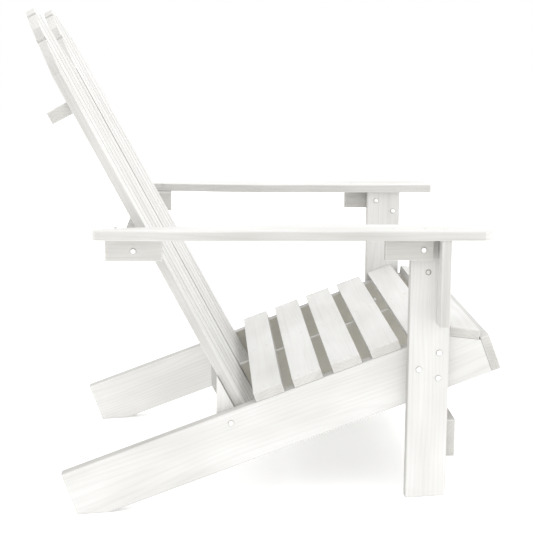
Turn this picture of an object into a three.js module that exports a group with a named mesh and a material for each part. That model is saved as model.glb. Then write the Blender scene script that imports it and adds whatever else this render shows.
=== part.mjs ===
// Garden chair in the Adirondack style, built from separate boards and fasteners.
// Millimetres, +Z up, the chair faces -Y, the sitter's right is -X, origin on the floor under the middle.
// Outlines are drawn in the chair's own level frame: forward distance and height, both measured from
// the toe of the rear feet. stand() then turns that frame until feet and legs share the floor.
import * as THREE from "three";

const deg = THREE.MathUtils.degToRad;

// Stance
const LEAN = deg(3.52); // how far the level frame tips forward when the chair stands
const FOOT_MIDDLE = -22; // where the floor line crosses the level under the rear feet
const GAP = 0.25; // clearance left where two turned faces meet
const ARRIS = 1; // softened edge on every board
const BOARD = 22; // frame stock thickness
const SLAT = 16; // slat and arm stock thickness

// Side rails (each one is a rear leg and a seat bearer)
const RAIL_OUT = 284; // outer face, measured from the middle of the chair
const RAIL_RISE = deg(20.75);
const RAIL_REAR = [-72, 71]; // upper rear corner
const RAIL_DEPTH = 94;
const RAIL_LENGTH = 759;
const NOSE_START = 694; // where the top edge turns down at the knee
const NOSE_DROP = 34;
const CENTRE_RAIL = 10;

// Seat
const SEAT_SLAT = 52;
const SEAT_FIRST = 361;
const SEAT_PITCH = 71;
const SEAT_COUNT = 5;
const KNEE_SLAT = 18; // distance of the knee slat from the start of the nose
const APRON_TOP = 31;

// Front legs, arms and what holds the arms
const LEG_REAR = 522.7;
const LEG_FRONT = 591.4;
const ARM_UNDER = 490;
// Arm outline seen from above: forward distance, distance from the middle of the chair
const ARM_FRONT = 657;
const ARM_INNER = 270.5;
const ARM_OUT = 347.5;
const ARM_NOSE = { length: 19, width: 29, steps: 6 }; // rounding of the outer front corner
const ARM_INNER_EDGE = [
  [-7, 316],
  [40, 303],
  [130, 292],
  [200, 281],
  [300, ARM_INNER],
  [ARM_FRONT - 3, ARM_INNER],
  [ARM_FRONT, ARM_INNER + 3],
];
const ARM_OUTER_EDGE = [
  [170, ARM_OUT],
  [-3, ARM_OUT - 7],
  [-7, ARM_OUT - 11],
];
const REAR_CLEAT = { back: 11, front: 106, height: 40 };
const FRONT_CLEAT = { back: 477, front: 557.5, height: 37 };
const BRACKET = { back: 568, out: 344, height: 147 };
const STRETCHER = { low: 104.6, high: 169.6, out: 296 };

// Back
const RECLINE = deg(28.2);
const BACK_LEVEL = [-107.6, 843.6]; // a point on the front face of the back, near its top
const BACK_SLAT = 45.5;
const BACK_GROUP = 5; // slats on each side of the middle gap
const SLAT_GAP = 5; // at the foot
const MIDDLE_GAP = 15;
const FAN = deg(0.55); // how far the outermost slat leans in
const SLAT_BELOW = 837;
const SLAT_ABOVE = 27;
const LOBE_SLOPE = 0.51;
const LOBE_BEND = 0.00443;
const LOBE_TIP = 15;
const UPPER_BRACE = { low: -165, high: -143, depth: 40, half: 240 };
const MID_BRACE = { back: 40, height: 33 };
const LOW_BRACE = { low: 150, high: 216 };
const BLOCK_REAR = 197;

// Fasteners
const HEAD = 4.6;
const HEAD_RISE = 2.4;
const SHANK = 2.6;
const HOLE = 2.9;

const WOOD = 0xece8e1;
const END_WOOD = 0xe6e1d8;
const STEEL = 0xd9dadb;

const FORWARD = new THREE.Vector3(0, -Math.cos(LEAN), -Math.sin(LEAN));
const UP = new THREE.Vector3(0, -Math.sin(LEAN), Math.cos(LEAN));
const ACROSS = new THREE.Vector3(1, 0, 0);
const ALONG_SLAT = FORWARD.clone().multiplyScalar(-Math.sin(RECLINE));
ALONG_SLAT.addScaledVector(UP, Math.cos(RECLINE));
const SLAT_FACE = FORWARD.clone().multiplyScalar(Math.cos(RECLINE));
SLAT_FACE.addScaledVector(UP, Math.sin(RECLINE));

const chair = new THREE.Group();
chair.name = "Adirondack_Chair";

// Forward distance and height in the level frame, to a point of the standing chair.
function stand(forward, height) {
  return new THREE.Vector3().addScaledVector(FORWARD, forward).addScaledVector(UP, height);
}

function floorHeight(forward) {
  return (forward - FOOT_MIDDLE) * Math.tan(LEAN);
}

// A point of the side rail: distance along its top edge, depth below that edge.
function onRail(along, below) {
  return [
    RAIL_REAR[0] + along * Math.cos(RAIL_RISE) + below * Math.sin(RAIL_RISE),
    RAIL_REAR[1] + along * Math.sin(RAIL_RISE) - below * Math.cos(RAIL_RISE),
  ];
}

// A point of the back: distance up the slats from BACK_LEVEL, distance forward of their front face.
function onBack(up, out) {
  return [
    BACK_LEVEL[0] - up * Math.sin(RECLINE) + out * Math.cos(RECLINE),
    BACK_LEVEL[1] + up * Math.cos(RECLINE) + out * Math.sin(RECLINE),
  ];
}

// Forward distance of the line `out` in front of the back, at a height.
function backLine(height, out) {
  const base = onBack(0, out);
  return base[0] + (base[1] - height) * Math.tan(RECLINE);
}

// Where the line through `from` and `to` meets the floor line.
function meetFloor(from, to) {
  const above = (p) => p[1] - floorHeight(p[0]);
  const part = above(from) / (above(from) - above(to));
  return [from[0] + (to[0] - from[0]) * part, from[1] + (to[1] - from[1]) * part];
}

function addMesh(name, geometry, colour, roughness, metalness) {
  const material = new THREE.MeshStandardMaterial({ color: colour, roughness, metalness });
  const mesh = new THREE.Mesh(geometry, material);
  mesh.name = name;
  chair.add(mesh);
}

function extrude(outline, holes, depth) {
  const points = outline.map((p) => new THREE.Vector2(p[0], p[1]));
  const shape = new THREE.Shape(THREE.ShapeUtils.isClockWise(points) ? points.reverse() : points);
  for (const hole of holes) {
    shape.holes.push(new THREE.Path().absarc(hole[0], hole[1], HOLE, 0, 2 * Math.PI, true));
  }
  return new THREE.ExtrudeGeometry(shape, {
    depth: depth - 2 * ARRIS,
    curveSegments: 6,
    bevelEnabled: true,
    bevelThickness: ARRIS,
    bevelSize: ARRIS,
    bevelOffset: -ARRIS,
    bevelSegments: 1,
  }).translate(0, 0, ARRIS);
}

// A board whose outline lies in the side view and whose thickness runs across the chair.
function sideBoard(name, left, right, outline, holes = [], colour = WOOD) {
  const turned = (p) => [stand(p[0], p[1]).y, stand(p[0], p[1]).z];
  const geometry = extrude(outline.map(turned), holes.map(turned), right - left);
  const basis = new THREE.Matrix4().makeBasis(
    new THREE.Vector3(0, 1, 0),
    new THREE.Vector3(0, 0, 1),
    ACROSS,
  );
  geometry.applyMatrix4(basis).translate(left, 0, 0);
  addMesh(name, geometry, colour, 0.72, 0);
}

// The same board on both sides of the chair; `inner` and `outer` are distances from the middle.
function boardPair(name, inner, outer, outline, holes = [], colour = WOOD) {
  sideBoard(name + "_Right", -outer, -inner, outline, holes, colour);
  sideBoard(name + "_Left", inner, outer, outline, holes, colour);
}

// A bolt or screw across the chair: domed head on the plane `face`, shank towards the middle.
function fastener(name, side, face, point, length, inward = 1) {
  const profile = [
    [0, -length],
    [SHANK, -length],
    [SHANK, GAP],
    [HEAD, GAP],
    [HEAD * 0.96, HEAD_RISE * 0.5],
    [HEAD * 0.7, HEAD_RISE * 0.88],
    [0, HEAD_RISE],
  ];
  const geometry = new THREE.LatheGeometry(
    profile.map((p) => new THREE.Vector2(p[0], p[1])),
    20,
  );
  const place = stand(point[0], point[1]);
  geometry.rotateZ(side * inward > 0 ? -Math.PI / 2 : Math.PI / 2);
  geometry.translate(side * face, place.y, place.z);
  addMesh(name, geometry, STEEL, 0.32, 1);
}

function fastenerPair(name, face, point, length, inward = 1) {
  fastener(name + "_Right", -1, face, point, length, inward);
  fastener(name + "_Left", 1, face, point, length, inward);
}

// Fastener positions, in the side view
const LEG_BOLTS = [
  [574.4, 291],
  [540.4, 262],
  [573.7, 246.8],
];
const BLOCK_BOLT = [222, 161.9];
const CLEAT_SCREW = [58, ARM_UNDER - 23];
const FRONT_CLEAT_SCREW = [541, ARM_UNDER - 19];
const LEG_SCREWS = [FRONT_CLEAT_SCREW, [577.4, 448.6]];

// Side rails
const footRear = meetFloor(onRail(0, 0), onRail(0, RAIL_DEPTH));
const footToe = meetFloor(onRail(0, RAIL_DEPTH), onRail(NOSE_START, RAIL_DEPTH));
const railOutline = [
  onRail(0, 0),
  footRear,
  footToe,
  onRail(RAIL_LENGTH, RAIL_DEPTH),
  onRail(RAIL_LENGTH, NOSE_DROP),
  onRail(NOSE_START, 0),
];
boardPair("Side_Rail", RAIL_OUT - BOARD, RAIL_OUT, railOutline, [...LEG_BOLTS, BLOCK_BOLT]);

// Centre rail, from the front face of the back to the apron
const centreTop = backRailMeet(0);
const centreLow = backRailMeet(RAIL_DEPTH);
sideBoard("Centre_Rail", -CENTRE_RAIL / 2, CENTRE_RAIL / 2, [
  centreTop,
  centreLow,
  onRail(RAIL_LENGTH, RAIL_DEPTH),
  onRail(RAIL_LENGTH, NOSE_DROP),
  onRail(NOSE_START, 0),
]);

// Where the front face of the back crosses a line `below` the top edge of the rails.
function backRailMeet(below) {
  const start = onRail(0, below);
  const rise = Math.tan(RAIL_RISE);
  const base = onBack(0, GAP + ARRIS);
  const lean = Math.tan(RECLINE);
  const height = (start[1] + (base[0] + base[1] * lean - start[0]) * rise) / (1 + lean * rise);
  return [start[0] + (height - start[1]) / rise, height];
}

// Seat slats, knee slat and apron, all as long as the seat is wide
function seatBoard(name, corner, along, across) {
  const far = [corner[0] + along[0], corner[1] + along[1]];
  sideBoard(name, -RAIL_OUT, RAIL_OUT, [
    corner,
    far,
    [far[0] + across[0], far[1] + across[1]],
    [corner[0] + across[0], corner[1] + across[1]],
  ]);
}

for (let i = 0; i < SEAT_COUNT; i++) {
  const start = SEAT_FIRST + i * SEAT_PITCH;
  const corner = onRail(start, -GAP);
  const far = onRail(start + SEAT_SLAT, -GAP);
  const above = onRail(start, -GAP - SLAT);
  const along = [far[0] - corner[0], far[1] - corner[1]];
  seatBoard(`Seat_Slat_${i + 1}`, corner, along, [above[0] - corner[0], above[1] - corner[1]]);
}
const kneeFrom = onRail(NOSE_START, 0);
const kneeTo = onRail(RAIL_LENGTH, NOSE_DROP);
const kneeLength = Math.hypot(kneeTo[0] - kneeFrom[0], kneeTo[1] - kneeFrom[1]);
const kneeRun = [(kneeTo[0] - kneeFrom[0]) / kneeLength, (kneeTo[1] - kneeFrom[1]) / kneeLength];
const kneeCorner = [
  kneeFrom[0] + kneeRun[0] * KNEE_SLAT - kneeRun[1] * GAP,
  kneeFrom[1] + kneeRun[1] * KNEE_SLAT + kneeRun[0] * GAP,
];
seatBoard(
  "Seat_Knee_Slat",
  kneeCorner,
  [kneeRun[0] * SEAT_SLAT, kneeRun[1] * SEAT_SLAT],
  [-kneeRun[1] * SLAT, kneeRun[0] * SLAT],
);
const apronTop = onRail(RAIL_LENGTH + GAP, APRON_TOP);
const apronLow = onRail(RAIL_LENGTH + GAP, RAIL_DEPTH);
const apronOut = onRail(RAIL_LENGTH + GAP + SLAT, APRON_TOP);
seatBoard(
  "Seat_Apron",
  apronTop,
  [apronLow[0] - apronTop[0], apronLow[1] - apronTop[1]],
  [apronOut[0] - apronTop[0], apronOut[1] - apronTop[1]],
);

// Front legs, outside the rails
boardPair(
  "Front_Leg",
  RAIL_OUT,
  RAIL_OUT + BOARD,
  [
    [LEG_REAR, floorHeight(LEG_REAR)],
    [LEG_FRONT, floorHeight(LEG_FRONT)],
    [LEG_FRONT, ARM_UNDER - GAP],
    [LEG_REAR, ARM_UNDER - GAP],
  ],
  [...LEG_BOLTS, ...LEG_SCREWS],
);
sideBoard("Front_Stretcher", -STRETCHER.out, STRETCHER.out, [
  [LEG_FRONT + GAP, STRETCHER.low],
  [LEG_FRONT + GAP + SLAT, STRETCHER.low],
  [LEG_FRONT + GAP + SLAT, STRETCHER.high],
  [LEG_FRONT + GAP, STRETCHER.high],
]);

// Arms
const armNose = [];
for (let i = 0; i <= ARM_NOSE.steps; i++) {
  const turn = (Math.PI / 2) * (1 - i / ARM_NOSE.steps);
  armNose.push([
    ARM_FRONT + ARM_NOSE.length * (Math.sin(turn) - 1),
    ARM_OUT + ARM_NOSE.width * (Math.cos(turn) - 1),
  ]);
}
const armPlan = [...ARM_INNER_EDGE, ...armNose, ...ARM_OUTER_EDGE];
for (const side of [-1, 1]) {
  const plan = armPlan.map((p) => [p[0], side * p[1]]);
  const geometry = extrude(plan, [], SLAT);
  geometry.applyMatrix4(new THREE.Matrix4().makeBasis(FORWARD, ACROSS, UP));
  const place = stand(0, ARM_UNDER);
  geometry.translate(0, place.y, place.z);
  addMesh(side < 0 ? "Armrest_Right" : "Armrest_Left", geometry, WOOD, 0.72, 0);
}

function uprightBox(back, front, low, high) {
  return [
    [back, low],
    [front, low],
    [front, high],
    [back, high],
  ];
}
const underArm = ARM_UNDER - GAP;
boardPair(
  "Front_Arm_Cleat",
  RAIL_OUT + BOARD,
  RAIL_OUT + BOARD + SLAT,
  uprightBox(FRONT_CLEAT.back, FRONT_CLEAT.front, underArm - FRONT_CLEAT.height, underArm),
  [FRONT_CLEAT_SCREW],
);
boardPair(
  "Arm_Bracket",
  RAIL_OUT + BOARD,
  BRACKET.out,
  uprightBox(BRACKET.back, BRACKET.back + SLAT, underArm - BRACKET.height, underArm),
);
boardPair(
  "Rear_Arm_Cleat",
  RAIL_OUT + 1,
  RAIL_OUT + 1 + BOARD,
  uprightBox(REAR_CLEAT.back, REAR_CLEAT.front, underArm - REAR_CLEAT.height, underArm),
  [CLEAT_SCREW],
);

// Braces behind the back, and the blocks that stand between the back and the rails
const slatRear = -SLAT - GAP;
sideBoard("Upper_Back_Brace", -UPPER_BRACE.half, UPPER_BRACE.half, [
  onBack(UPPER_BRACE.low, slatRear),
  onBack(UPPER_BRACE.high, slatRear),
  onBack(UPPER_BRACE.high, slatRear - UPPER_BRACE.depth),
  onBack(UPPER_BRACE.low, slatRear - UPPER_BRACE.depth),
]);
const midLow = underArm - MID_BRACE.height;
sideBoard("Middle_Back_Brace", -RAIL_OUT - 1, RAIL_OUT + 1, [
  [MID_BRACE.back, midLow],
  [backLine(midLow, slatRear), midLow],
  [backLine(underArm, slatRear), underArm],
  [MID_BRACE.back, underArm],
]);
const blockHigh = BACK_LEVEL[1] - (BLOCK_REAR + 6 - onBack(0, slatRear)[0]) / Math.tan(RECLINE);
const blockOutline = [
  [BLOCK_REAR, blockHigh],
  [BLOCK_REAR, LOW_BRACE.low - 30],
  [backLine(LOW_BRACE.low - 30, slatRear) - GAP, LOW_BRACE.low - 30],
  [backLine(blockHigh, slatRear) - GAP, blockHigh],
];
const railInner = RAIL_OUT - BOARD;
boardPair("Back_Foot_Block", railInner - BOARD, railInner, blockOutline, [BLOCK_BOLT], END_WOOD);
sideBoard("Lower_Back_Brace", -railInner + BOARD, railInner - BOARD, [
  [backLine(LOW_BRACE.low, slatRear) - BOARD, LOW_BRACE.low],
  [backLine(LOW_BRACE.low, slatRear), LOW_BRACE.low],
  [backLine(LOW_BRACE.high, slatRear), LOW_BRACE.high],
  [backLine(LOW_BRACE.high, slatRear) - BOARD, LOW_BRACE.high],
]);

// Back slats: two groups, each with its own rounded top
const groupWidth = BACK_GROUP * BACK_SLAT + (BACK_GROUP - 1) * SLAT_GAP;
const groupCentre = MIDDLE_GAP / 2 + groupWidth / 2;
const outermost = groupCentre + groupWidth / 2 - BACK_SLAT / 2;

function lobeDrop(distance) {
  const tip = Math.sqrt(distance * distance + LOBE_TIP * LOBE_TIP) - LOBE_TIP;
  return LOBE_SLOPE * tip + LOBE_BEND * distance * distance;
}

function backSlat(name, centre, lobe) {
  const points = [
    [-BACK_SLAT / 2, -SLAT_BELOW],
    [BACK_SLAT / 2, -SLAT_BELOW],
  ];
  const steps = 8;
  for (let i = 0; i <= steps; i++) {
    const across = BACK_SLAT / 2 - (BACK_SLAT * i) / steps;
    points.push([across, SLAT_ABOVE - lobeDrop(centre + across - lobe)]);
  }
  const lean = (centre / outermost) * FAN;
  const geometry = extrude(points, [], SLAT);
  geometry.translate(0, SLAT_BELOW, -SLAT);
  geometry.rotateZ(lean);
  geometry.translate(centre, -SLAT_BELOW, 0);
  geometry.applyMatrix4(new THREE.Matrix4().makeBasis(ACROSS, ALONG_SLAT, SLAT_FACE));
  const place = stand(BACK_LEVEL[0], BACK_LEVEL[1]);
  geometry.translate(0, place.y, place.z);
  addMesh(name, geometry, WOOD, 0.72, 0);
}

for (const side of [-1, 1]) {
  for (let i = 0; i < BACK_GROUP; i++) {
    const offset = (i - (BACK_GROUP - 1) / 2) * (BACK_SLAT + SLAT_GAP);
    const number = side < 0 ? i + 1 : BACK_GROUP + i + 1;
    backSlat(`Back_Slat_${number}`, side * groupCentre + offset, side * groupCentre);
  }
}

// Fasteners
const legFace = RAIL_OUT + BOARD;
LEG_BOLTS.forEach((p, i) => fastenerPair(`Leg_Bolt_${i + 1}`, legFace, p, 2 * BOARD));
fastenerPair("Block_Bolt", RAIL_OUT, BLOCK_BOLT, 2 * BOARD);
fastenerPair("Rear_Cleat_Screw", RAIL_OUT + 1 + BOARD, CLEAT_SCREW, BOARD - ARRIS);
fastenerPair("Front_Cleat_Screw", legFace + SLAT, FRONT_CLEAT_SCREW, SLAT + BOARD / 2);
LEG_SCREWS.forEach((p, i) => {
  fastenerPair(`Leg_Screw_${i + 1}`, RAIL_OUT, p, BOARD / 2 - ARRIS, -1);
});

// Origin: on the floor, under the middle of the bounding box
const box = new THREE.Box3().setFromObject(chair);
const middle = (box.min.y + box.max.y) / 2;
for (const mesh of chair.children) {
  mesh.geometry.translate(0, -middle, -box.min.z);
}

export default chair;
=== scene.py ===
"""Whitewashed fir garden chair: boards with eased edges, grain that follows each board, zinc screws."""

import random

import bmesh
import bpy
from math import cos, pi, radians, sin
from mathutils import Euler, Matrix, Vector


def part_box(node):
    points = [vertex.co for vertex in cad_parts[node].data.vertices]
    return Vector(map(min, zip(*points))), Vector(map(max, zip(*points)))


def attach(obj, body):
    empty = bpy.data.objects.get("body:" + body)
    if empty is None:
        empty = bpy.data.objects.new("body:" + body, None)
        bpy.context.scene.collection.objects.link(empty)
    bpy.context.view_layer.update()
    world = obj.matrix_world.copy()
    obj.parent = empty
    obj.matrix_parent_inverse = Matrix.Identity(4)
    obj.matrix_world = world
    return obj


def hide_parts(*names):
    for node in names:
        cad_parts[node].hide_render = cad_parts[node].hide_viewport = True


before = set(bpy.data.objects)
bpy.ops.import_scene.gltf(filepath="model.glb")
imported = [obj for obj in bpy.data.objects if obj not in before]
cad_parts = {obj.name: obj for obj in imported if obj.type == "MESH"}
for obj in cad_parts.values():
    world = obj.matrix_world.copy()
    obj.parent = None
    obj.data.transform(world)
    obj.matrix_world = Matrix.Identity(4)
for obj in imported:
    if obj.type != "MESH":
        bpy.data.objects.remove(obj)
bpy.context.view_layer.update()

MM = 0.001

# Directions in the standing chair
LEAN = radians(3.52)
RAIL_RISE = radians(20.75)
RECLINE = radians(28.2)
ACROSS = Vector((1, 0, 0))
FORWARD = Vector((0, -cos(LEAN), -sin(LEAN)))
UPRIGHT = Vector((0, -sin(LEAN), cos(LEAN)))
UP_RAIL = FORWARD * cos(RAIL_RISE) + UPRIGHT * sin(RAIL_RISE)
SEAT_FACE = UPRIGHT * cos(RAIL_RISE) - FORWARD * sin(RAIL_RISE)
UP_SLAT = UPRIGHT * cos(RECLINE) - FORWARD * sin(RECLINE)
BACK_FACE = FORWARD * cos(RECLINE) + UPRIGHT * sin(RECLINE)

# Which way the grain runs in each board
GRAIN = {
    "Side_Rail": UP_RAIL,
    "Centre_Rail": UP_RAIL,
    "Seat_": ACROSS,
    "Front_Leg": UPRIGHT,
    "Front_Stretcher": ACROSS,
    "Armrest": FORWARD,
    "Front_Arm_Cleat": FORWARD,
    "Rear_Arm_Cleat": FORWARD,
    "Arm_Bracket": UPRIGHT,
    "Upper_Back_Brace": ACROSS,
    "Middle_Back_Brace": ACROSS,
    "Lower_Back_Brace": ACROSS,
    "Back_Foot_Block": UPRIGHT,
    "Back_Slat": UP_SLAT,
}

RING = 0.0062  # width of one year of growth (metres)

# Eased edges
EASE = 0.4 * MM
NARROW = 5 * MM  # faces narrower than this belong to an edge or a curve
SAWN = 20 * MM  # long faces narrower than this are the sawn sides of a thin board

# Places in a board's list of finishes
MAIN, EDGE, SIDE, END, INSIDE, GAP = range(6)

# Where the small screws sit (metres)
SEAT_SCREW_REACH = (-0.273, 0.0, 0.273)  # across, over the three rails
SEAT_SCREW_STEP = (-0.013, 0.013)  # along the rail, either side of the slat's middle
ARM_SCREW_STEPS = (
    ("Front_Arm_Cleat", (-0.026, 0.026)),
    ("Rear_Arm_Cleat", (-0.03, 0.03)),
    ("Arm_Bracket", (0.0,)),
)
LEG_SCREW_BELOW_TOP = 0.0595
LEG_SCREW_BEHIND_MIDDLE = 0.0048

# How the back slats fan out
BACK_OUTER = 232.25 * MM
BACK_FAN = radians(0.55)

# Screws
DOME = [(4.6, 0.25), (4.5, 1.2), (3.9, 1.9), (2.9, 2.35)]
DOME_RISE = 2.4
SOCKET = [(2.3, 2.3), (2.1, 1.0)]
SHANK_RADIUS = 2.6
FLUSH = [(3.4, 0.0), (3.3, 0.3), (1.8, 0.38)]
FLUSH_SOCKET = [(1.5, 0.36), (1.4, 0.06)]
# Dark ring of painted shadow round each screw head
SHADOW_RING_SHAPE = [(5.2, -1.0), (5.2, 0.08), (4.9, 0.16)]
SUNK_HEAD = [(3.2, -0.5), (3.2, 0.3), (2.9, 0.5), (1.9, 0.6)]
SUNK_SOCKET = [(1.6, 0.55), (1.5, 0.25)]

# Light and camera
STUDIO_LEVEL = 1.17
CAMERA_PLACE = (-2.3963, 0.0794, 0.8236)
CAMERA_DOWN = 9.385  # degrees
CAMERA_TURN = 0.958
CAMERA_ROLL = -3.396
CAMERA_LENS = 86.05
CAMERA_SHIFT = (0.05, -0.06)


class Value:
    """A node's output in a sum: each operator adds one Math node."""

    def __init__(self, finish, socket):
        self.finish = finish
        self.socket = socket

    def _math(self, operation, first, second):
        return self.finish.node("ShaderNodeMath", {"operation": operation}, {0: first, 1: second})

    def __add__(self, other):
        return self._math("ADD", self, other)

    __radd__ = __add__

    def __sub__(self, other):
        return self._math("SUBTRACT", self, other)

    def __rsub__(self, other):
        return self._math("SUBTRACT", other, self)

    def __mul__(self, other):
        return self._math("MULTIPLY", self, other)

    __rmul__ = __mul__

    def __pow__(self, other):
        return self._math("POWER", self, other)


class Finish:
    """The material of one surface and the nodes that make it."""

    def __init__(self, name):
        self.material = bpy.data.materials.new(name)
        self.material.use_nodes = True
        self.tree = self.material.node_tree
        self.surface = self.tree.nodes["Principled BSDF"]

    def node(self, kind, settings, inputs, output=0):
        made = self.tree.nodes.new(kind)
        for name, value in settings.items():
            setattr(made, name, value)
        for name, value in inputs.items():
            self.feed(made.inputs[name], value)
        return Value(self, made.outputs[output])

    def feed(self, socket, value):
        if isinstance(value, Value):
            self.tree.links.new(value.socket, socket)
        else:
            socket.default_value = value

    def set(self, **inputs):
        for name, value in inputs.items():
            self.feed(self.surface.inputs[name.replace("_", " ")], value)

    def mix(self, factor, plain, other):
        inputs = {"Factor": factor, 6: plain, 7: other}
        return self.node("ShaderNodeMix", {"data_type": "RGBA"}, inputs, 2)

    def noise(self, place, stretch, detail=3.0, roughness=0.5):
        scaled = self.node("ShaderNodeMapping", {}, {"Vector": place, "Scale": stretch})
        inputs = {"Vector": scaled, "Scale": 1.0, "Detail": detail, "Roughness": roughness}
        return self.node("ShaderNodeTexNoise", {}, inputs)

    def parts(self, vector):
        """The three numbers of a vector."""
        node = self.node("ShaderNodeSeparateXYZ", {}, {"Vector": vector}).socket.node
        return [Value(self, socket) for socket in node.outputs]

    def band(self, value, low, high):
        """0 below low, 1 above high, smooth between."""
        inputs = {"Value": value, "From Min": low, "From Max": high}
        return self.node("ShaderNodeMapRange", {"interpolation_type": "SMOOTHSTEP"}, inputs)


def rgb(red, green, blue):
    return (red, green, blue, 1.0)


def fir(name, wash, cover, rough, rings=1.0, tooth=1.0, seat_shade_from=None):
    """Fir under a thin white wash.

    cover is how much of the grain the wash hides, rings and tooth how strong the year rings and
    the fibres are. The last argument is the point along the rails from which the painted shade under
    the seat begins.
    """
    finish = Finish(name)
    grain = finish.node("ShaderNodeAttribute", {"attribute_name": "grain"}, {}, "Vector")
    across, depth, _ = finish.parts(grain)

    drift = finish.noise(grain, (9.0, 9.0, 1.6), 1.0)
    wander = finish.noise(grain, (30.0, 30.0, 5.0), 1.0)
    across = across + (drift - 0.5) * 0.075
    depth = depth + (wander - 0.5) * 0.012
    radius = (across * across + depth * depth) ** 0.5
    wave = finish.node("ShaderNodeMath", {"operation": "SINE"}, {0: radius * (2 * pi / RING)})
    late_wood = (wave * 0.5 + 0.5) ** 3.0

    fibre = finish.noise(grain, (520.0, 520.0, 9.0), 4.0, 0.62)
    streak = finish.noise(grain, (95.0, 95.0, 2.4), 2.0)
    cloud = finish.noise(grain, (14.0, 14.0, 5.0), 2.0)
    brushed = finish.noise(grain, (240.0, 240.0, 1.4), 2.0)

    cells = finish.node("ShaderNodeMapping", {}, {"Vector": grain, "Scale": (9.0, 9.0, 4.2)})
    knot_inputs = {"Vector": cells, "Scale": 1.0, "Randomness": 1.0}
    knot_far = finish.node("ShaderNodeTexVoronoi", {}, knot_inputs, "Distance")
    tint = Value(finish, knot_far.socket.node.outputs["Color"])
    kept = finish.band(finish.parts(tint)[0], 0.68, 0.7)  # a third of the cells hold a knot
    knot = 1 - finish.band(knot_far + (streak - 0.5) * 0.05, 0.045, 0.115)
    knot_rim = finish.band(knot_far, 0.05, 0.08) * (1 - finish.band(knot_far, 0.08, 0.16))

    lines = late_wood * 0.36 * rings + finish.band(fibre, 0.42, 0.72) * 0.34 * tooth
    lines = lines + finish.band(streak, 0.5, 0.75) * 0.3
    show = lines * (1.15 - cover) + (knot * 0.3 + knot_rim * 0.12) * kept
    colour = finish.mix(show, wash, BARE_FIR)
    shade = finish.band(cloud, 0.3, 0.75) * 0.35 + finish.band(brushed, 0.55, 0.8) * 0.16
    dull = rgb(wash[0] * 0.93, wash[1] * 0.925, wash[2] * 0.905)
    colour = finish.node(
        "ShaderNodeMix",
        {"data_type": "RGBA", "blend_type": "MULTIPLY"},
        {"Factor": shade, 6: colour, 7: dull},
        2,
    )
    # Painted shade: from that point on, under the seat, the rails' inner faces turn dark to stand in
    # for the seat's shadow
    if seat_shade_from is not None:
        place = finish.node("ShaderNodeTexCoord", {}, {}, "Object")
        _, back, high = finish.parts(place)
        under_seat_shade = finish.band(back * UP_RAIL.y + high * UP_RAIL.z, seat_shade_from, seat_shade_from + 0.02)
        colour = finish.mix(under_seat_shade * (0.82 + streak * 0.3), colour, SEAT_SHADE_COLOUR)
    height = late_wood * 0.4 * rings + fibre * 0.75 * tooth + brushed * 0.35 - knot * 0.3 * kept
    bump_inputs = {"Height": height, "Strength": 0.12 * tooth, "Distance": 0.0004}
    bump = finish.node("ShaderNodeBump", {}, bump_inputs)
    finish.set(Base_Color=colour, Roughness=rough + (fibre - 0.5) * 0.25 + knot * 0.08, Normal=bump)
    finish.set(Specular_IOR_Level=0.32)
    return finish.material


def zinc(name, tone, rough, metallic):
    """Metal or painted metal with faint blotches and fine turning marks."""
    finish = Finish(name)
    place = finish.node("ShaderNodeTexCoord", {}, {}, "Object")
    blotch = finish.noise(place, (420.0, 420.0, 420.0), 3.0)
    grime = finish.noise(place, (900.0, 900.0, 900.0), 2.0)
    tarnish = rgb(tone[0] * 0.72, tone[1] * 0.71, tone[2] * 0.68)
    colour = finish.mix(finish.band(blotch, 0.45, 0.75), tone, tarnish)
    bump = finish.node("ShaderNodeBump", {}, {"Height": grime, "Strength": 0.2, "Distance": 0.0001})
    finish.set(Base_Color=colour, Roughness=rough + blotch * 0.2, Normal=bump, Metallic=metallic)
    return finish.material


def backdrop_white(name):
    """Smooth pale floor, barely uneven and slightly luminous so that shadows stay faint."""
    finish = Finish(name)
    place = finish.node("ShaderNodeTexCoord", {}, {}, "Object")
    cloud = finish.noise(place, (1.5, 1.5, 1.5), 2.0)
    finish.set(Base_Color=finish.mix(cloud, rgb(0.97, 0.97, 0.97), rgb(0.985, 0.985, 0.985)))
    finish.set(Roughness=0.9, Specular_IOR_Level=0.0)
    finish.set(Emission_Color=rgb(1.0, 1.0, 1.0), Emission_Strength=0.22)
    return finish.material


seat_start = min(v.co.dot(UP_RAIL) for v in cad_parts["Seat_Slat_1"].data.vertices)

WASH = rgb(0.69, 0.686, 0.674)
BARE_FIR = rgb(0.42, 0.40, 0.365)
# Colour of the painted shade on the rails' inner faces under the seat
SEAT_SHADE_COLOUR = rgb(0.50, 0.485, 0.43)
BOARD_FACE = fir("Whitewashed_Fir_Face", WASH, 0.88, 0.66)
BOARD_SMOOTH = fir("Whitewashed_Fir_Smooth_Face", rgb(0.72, 0.716, 0.704), 0.94, 0.62, 0.6, 0.4)
BOARD_BACK = fir("Whitewashed_Fir_Back_Slat", rgb(0.64, 0.636, 0.624), 0.94, 0.66, 0.5, 0.25)
BOARD_EDGE = fir("Whitewashed_Fir_Worn_Edge", rgb(0.66, 0.652, 0.635), 0.78, 0.7)
BOARD_SIDE = fir("Whitewashed_Fir_Sawn_Side", rgb(0.575, 0.568, 0.55), 0.78, 0.74)
BOARD_END = fir("Whitewashed_Fir_End_Grain", rgb(0.575, 0.568, 0.545), 0.7, 0.82, 1.3)
# Darker colour on the arm cleats: painted shade under the arms
CLEAT_UNDER_ARM_SHADE = fir("Fir_With_Painted_Shade_Under_Arm", rgb(0.585, 0.577, 0.557), 0.8, 0.74)
# Rails' inner faces: the lighter wash is painted light, and the dark part under the seat is painted
# shade
RAIL_INSIDE_LIGHT_AND_SHADE = fir("Fir_Inside_Seat_Painted_Light_And_Shade", rgb(0.79, 0.785, 0.77), 0.88, 0.7, seat_shade_from=seat_start - 0.05)
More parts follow.
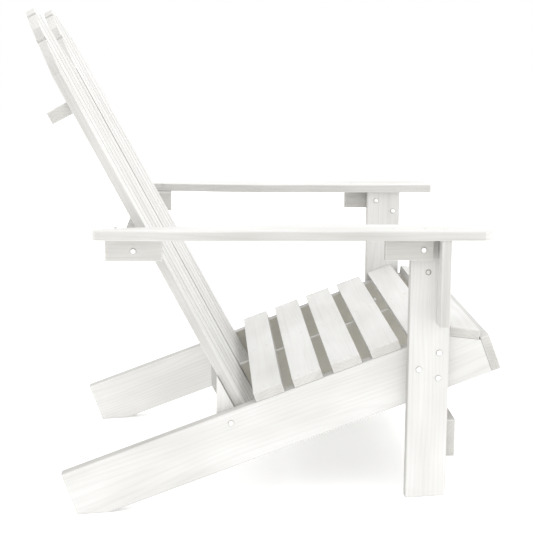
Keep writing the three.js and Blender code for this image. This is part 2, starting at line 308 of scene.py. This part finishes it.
# Dark colour on the back slats' long eased edges: painted shade in the gaps between the slats
BACK_GAP_SHADE = fir("Painted_Shade_Between_Back_Slats", rgb(0.40, 0.39, 0.37), 0.8, 0.8)
HEAD_METAL = zinc("Zinc_Bolt_Head", rgb(0.95, 0.95, 0.945), 0.3, 1.0)
SCREW_METAL = zinc("Painted_Screw", rgb(0.71, 0.705, 0.69), 0.45, 0.1)
# Dark metal of the rings of painted shadow round screw heads
SHADOW_RING_METAL = zinc("Painted_Shadow_Ring", rgb(0.45, 0.44, 0.41), 0.6, 1.0)
# Every finish of a board but its main face, in the order EDGE, SIDE, END, INSIDE, GAP; INSIDE carries
# painted light and shade, GAP painted shade
SURFACES = [BOARD_EDGE, BOARD_SIDE, BOARD_END, RAIL_INSIDE_LIGHT_AND_SHADE, BACK_GAP_SHADE]


def finish_piece(name, bm, materials):
    """Makes the object of a finished bmesh and hangs it on the chair."""
    mesh = bpy.data.meshes.new(name)
    bm.to_mesh(mesh)
    bm.free()
    for material in materials:
        mesh.materials.append(material)
    piece = bpy.data.objects.new(name, mesh)
    bpy.context.scene.collection.objects.link(piece)
    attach(piece, "root")
    return piece


def lay_grain(mesh, along, chance):
    """Stores each point's place in the board's own directions, shifted as if cut from its own log."""
    side = ACROSS if along != ACROSS else UP_RAIL
    face = along.cross(side).normalized()
    shift = Vector((chance.uniform(-0.05, 0.05), chance.uniform(0.02, 0.06), chance.uniform(-5, 5)))
    if chance.random() < 0.5:
        shift.y = -shift.y
    values = []
    for vertex in mesh.vertices:
        place = Vector((vertex.co.dot(side), vertex.co.dot(face), vertex.co.dot(along)))
        values.append(place)
    middle = sum(values, Vector()) / len(values)
    layer = mesh.attributes.new("grain", "FLOAT_VECTOR", "POINT")
    for point, place in zip(layer.data, values):
        point.vector = place - middle + shift


def surface_of(face, name, along, broad):
    """The place of a face's finish in the board's list."""
    width = face.calc_area() / (face.calc_perimeter() / 2)
    middle = face.calc_center_median().x
    sideways = face.normal.x
    lengthways = abs(face.normal.dot(along))
    outermost = name.endswith(("_1", "_10")) and sideways * middle > 0
    long_edge = width < 2 * EASE and lengthways < 0.1 and abs(sideways) > 0.35
    # Long eased edges between back slats take the painted gap shade
    if name.startswith("Back_Slat") and long_edge and not outermost:
        return GAP
    if "Rail" in name and abs(sideways) > 0.9 and (sideways * middle < 0 or name.startswith("Centre")):
        return INSIDE
    if abs(face.normal.dot(broad)) > 0.99:
        return MAIN
    if width < NARROW:
        return EDGE
    if lengthways > 0.75:
        return END
    if width < SAWN and not name.startswith(("Centre_Rail", "Seat_Apron")):
        return SIDE
    return MAIN


def worked_board(name, along):
    """A board of the frame with rounded edges, end grain and grain of its own."""
    bm = bmesh.new()
    bm.from_mesh(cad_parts[name].data)
    bmesh.ops.remove_doubles(bm, verts=bm.verts, dist=0.01 * MM)
    bmesh.ops.dissolve_limit(bm, angle_limit=radians(0.5), verts=bm.verts, edges=bm.edges)
    corners = [e for e in bm.edges if e.is_manifold and e.calc_face_angle() > radians(32)]
    bmesh.ops.bevel(
        bm,
        geom=corners,
        offset=EASE,
        affect="EDGES",
        segments=2,
        profile=0.5,
        material=-1,
        clamp_overlap=True,
    )
    broad = max(bm.faces, key=lambda face: face.calc_area()).normal.copy()
    for face in bm.faces:
        face.material_index = surface_of(face, name, along, broad)
        face.smooth = face.material_index in (EDGE, GAP)
    # Cleats sit under the arms and take the painted shade
    if "Cleat" in name:
        main = CLEAT_UNDER_ARM_SHADE
    elif name.startswith("Back_Slat"):
        main = BOARD_BACK
    elif name.startswith(("Seat_Slat", "Armrest")):
        main = BOARD_SMOOTH
    else:
        main = BOARD_FACE
    piece = finish_piece(name + "_Worked", bm, [main] + SURFACES)
    lay_grain(piece.data, along, random.Random(name))
    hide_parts(name)


def stack_rings(bm, rings, place):
    """Joins rings of (radius, height, sides) into one closed turned shape and puts it in place."""
    edges = []
    verts = []
    for number, (radius, height, sides) in enumerate(rings):
        last = number in (0, len(rings) - 1)
        made = bmesh.ops.create_circle(
            bm, cap_ends=last, segments=sides, radius=radius * MM,
            matrix=Matrix.Translation((0, 0, height * MM)),
        )["verts"]
        verts += made
        loop = {e for v in made for e in v.link_edges}
        edges.append(list(loop))
    for lower, upper in zip(edges, edges[1:]):
        bmesh.ops.bridge_loops(bm, edges=lower + upper)
    faces = list({f for v in verts for f in v.link_faces})
    bmesh.ops.recalc_face_normals(bm, faces=faces)
    bmesh.ops.transform(bm, matrix=place, verts=verts)
    for face in faces:
        face.smooth = len(face.verts) < 6


def facing(point, outward):
    """The place of a screw whose head looks outward."""
    return Matrix.Translation(point) @ outward.to_track_quat("Z", "Y").to_matrix().to_4x4()


def domed_fastener(name):
    """A bolt or screw of the frame: domed head with a six-sided socket, plain shank, and a thin dark
    ring of painted shadow round the head.
    """
    low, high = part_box(name)
    centre = (low + high) / 2
    side = 1 if centre.x > 0 else -1
    if name.startswith("Leg_Screw"):
        side = -side
    centre.x = high.x - DOME_RISE * MM if side > 0 else low.x + DOME_RISE * MM
    length = (high.x - low.x) / MM - DOME_RISE
    rings = [(SHANK_RADIUS, -length, 20), (SHANK_RADIUS, 0.25, 20)]
    rings += [(radius, height, 20) for radius, height in DOME]
    rings += [(radius, height, 6) for radius, height in SOCKET]
    bm = bmesh.new()
    stack_rings(bm, rings, facing(centre, ACROSS * side))
    bright = len(bm.faces)
    # The ring under the head is dark: painted shadow
    stack_rings(bm, [(radius, height, 24) for radius, height in SHADOW_RING_SHAPE], facing(centre, ACROSS * side))
    bm.faces.ensure_lookup_table()
    for face in bm.faces[bright:]:
        face.material_index = 1
    piece = finish_piece(name + "_Turned", bm, [HEAD_METAL, SHADOW_RING_METAL])
    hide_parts(name)


def flush_screws(name, places):
    """Small countersunk screws, each given as a point on a board and the way it faces."""
    bm = bmesh.new()
    for point, outward in places:
        rings = [(1.6, -2.0, 16)]
        rings += [(radius, height, 16) for radius, height in FLUSH]
        rings += [(radius, height, 4) for radius, height in FLUSH_SOCKET]
        stack_rings(bm, rings, facing(point, outward))
    finish_piece(name, bm, [SCREW_METAL])


def recessed_screws(name, places):
    """Screws sunk in a dark ring of painted shade that stands in for the recess: a flat ring with the
    head inside it.
    """
    bm = bmesh.new()
    for point, outward in places:
        rings = [(radius, height, 20) for radius, height in SHADOW_RING_SHAPE]
        stack_rings(bm, rings, facing(point, outward))
    shadow_ring_faces = len(bm.faces)
    for point, outward in places:
        rings = [(radius, height, 20) for radius, height in SUNK_HEAD]
        rings += [(radius, height, 4) for radius, height in SUNK_SOCKET]
        stack_rings(bm, rings, facing(point, outward))
    bm.faces.ensure_lookup_table()
    for face in bm.faces[shadow_ring_faces:]:
        face.material_index = 1
    finish_piece(name, bm, [SHADOW_RING_METAL, SCREW_METAL])


def on_face(name, along, outward):
    """The middle of a board's outer face, measured along and outward."""
    points = [v.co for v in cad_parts[name].data.vertices]
    run = [p.dot(along) for p in points]
    out = max(p.dot(outward) for p in points)
    width = [p.x for p in points]
    middle = ACROSS * (min(width) + max(width)) / 2
    return middle + along * (min(run) + max(run)) / 2 + outward * out


# Boards
for node_name in sorted(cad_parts):
    for start, along in GRAIN.items():
        if node_name.startswith(start) and "Screw" not in node_name:
            worked_board(node_name, along)
            break
    else:
        domed_fastener(node_name)

# Small screws in the seat: two over each of the three rails
seat_places = []
for number in range(1, 6):
    middle = on_face(f"Seat_Slat_{number}", UP_RAIL, SEAT_FACE)
    for reach in SEAT_SCREW_REACH:
        for step in SEAT_SCREW_STEP:
            seat_places.append((middle + ACROSS * reach + UP_RAIL * step, SEAT_FACE))
flush_screws("Seat_Screws", seat_places)

# Small screws through the back slats into the three braces behind them
back_places = []
for number in range(1, 11):
    name = f"Back_Slat_{number}"
    points = [v.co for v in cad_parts[name].data.vertices]
    foot = min(p.dot(UP_SLAT) for p in points)
    out = max(p.dot(BACK_FACE) for p in points)
    foot_x = [p.x for p in points if p.dot(UP_SLAT) < foot + 0.01]
    foot_mid = (min(foot_x) + max(foot_x)) / 2
    lean = foot_mid / BACK_OUTER * BACK_FAN
    for brace in ("Lower_Back_Brace", "Middle_Back_Brace", "Upper_Back_Brace"):
        behind = [v.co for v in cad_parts[brace].data.vertices]
        front = max(p.dot(BACK_FACE) for p in behind)
        touching = [p.dot(UP_SLAT) for p in behind if p.dot(BACK_FACE) > front - 0.002]
        up = (min(touching) + max(touching)) / 2
        x = foot_mid - sin(lean) * (up - foot)
        back_places.append((ACROSS * x + UP_SLAT * up + BACK_FACE * out, BACK_FACE))
flush_screws("Back_Screws", back_places)

# Small screws down through the arms into cleats and brackets
arm_places = []
for side in ("Right", "Left"):
    top = max(v.co.dot(UPRIGHT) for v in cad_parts[f"Armrest_{side}"].data.vertices)
    for below, steps in ARM_SCREW_STEPS:
        middle = on_face(f"{below}_{side}", FORWARD, UPRIGHT)
        middle += UPRIGHT * (top - middle.dot(UPRIGHT))
        for step in steps:
            arm_places.append((middle + FORWARD * step, UPRIGHT))
flush_screws("Arm_Screws", arm_places)

# Sunk screw near the top of the outer face of each leg, in a ring of painted shade
leg_places = []
for side, outward in (("Right", -ACROSS), ("Left", ACROSS)):
    middle = on_face(f"Front_Leg_{side}", FORWARD, outward)
    top = max(v.co.dot(UPRIGHT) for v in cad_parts[f"Front_Leg_{side}"].data.vertices)
    low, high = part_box(f"Front_Leg_{side}")
    place = middle + UPRIGHT * (top - LEG_SCREW_BELOW_TOP - middle.dot(UPRIGHT))
    place -= FORWARD * LEG_SCREW_BEHIND_MIDDLE
    place.x = low.x if side == "Right" else high.x
    leg_places.append((place, outward))
recessed_screws("Leg_Side_Screws", leg_places)

# Floor
ground = bmesh.new()
bmesh.ops.create_grid(ground, x_segments=1, y_segments=1, size=12)
floor_mesh = bpy.data.meshes.new("Floor")
ground.to_mesh(floor_mesh)
ground.free()
floor_mesh.materials.append(backdrop_white("Pale_Floor"))
floor = bpy.data.objects.new("Floor", floor_mesh)
floor.location.z = -0.3 * MM
bpy.context.scene.collection.objects.link(floor)


def studio_sun(name, toward, strength, spread):
    """A very soft distant light: toward points from the chair to the light."""
    light = bpy.data.lights.new(name, "SUN")
    light.energy = strength
    light.angle = radians(spread)
    lamp = bpy.data.objects.new(name, light)
    lamp.rotation_euler = Vector(toward).to_track_quat("Z", "Y").to_euler()
    bpy.context.scene.collection.objects.link(lamp)


studio_sun("Key", (-0.2, -0.75, 1.0), 0.85, 90)
studio_sun("Rear_Fill", (-0.9, 0.7, 0.7), 0.2, 60)
studio_sun("Front_Fill", (0.0, -1.0, 0.15), 0.42, 60)

# The room lights the chair a little more brightly than it is seen
world = bpy.data.worlds.new("Studio")
world.use_nodes = True
surround = world.node_tree.nodes["Background"]
surround.inputs["Color"].default_value = rgb(1.0, 1.0, 1.0)
surround.inputs["Strength"].default_value = STUDIO_LEVEL
seen = world.node_tree.nodes.new("ShaderNodeBackground")
seen.inputs["Color"].default_value = rgb(1.0, 1.0, 1.0)
ray = world.node_tree.nodes.new("ShaderNodeLightPath")
choice = world.node_tree.nodes.new("ShaderNodeMixShader")
world.node_tree.links.new(ray.outputs["Is Camera Ray"], choice.inputs[0])
world.node_tree.links.new(surround.outputs[0], choice.inputs[1])
world.node_tree.links.new(seen.outputs[0], choice.inputs[2])
world.node_tree.links.new(choice.outputs[0], world.node_tree.nodes["World Output"].inputs[0])
bpy.context.scene.world = world
bpy.context.scene.view_settings.view_transform = "Standard"

# Camera: near the height of the top of the back, looking slightly down on the chair's right side
lens = bpy.data.cameras.new("Camera")
lens.sensor_width = 36
lens.lens = CAMERA_LENS
lens.shift_x = CAMERA_SHIFT[0]
lens.shift_y = CAMERA_SHIFT[1]
camera = bpy.data.objects.new("Camera", lens)
turn = Euler((radians(90 - CAMERA_DOWN), 0, radians(-90 - CAMERA_TURN))).to_matrix()
turn = turn @ Matrix.Rotation(radians(CAMERA_ROLL), 3, "Z")
camera.matrix_world = Matrix.Translation(CAMERA_PLACE) @ turn.to_4x4()
bpy.context.scene.collection.objects.link(camera)
bpy.context.scene.camera = camera
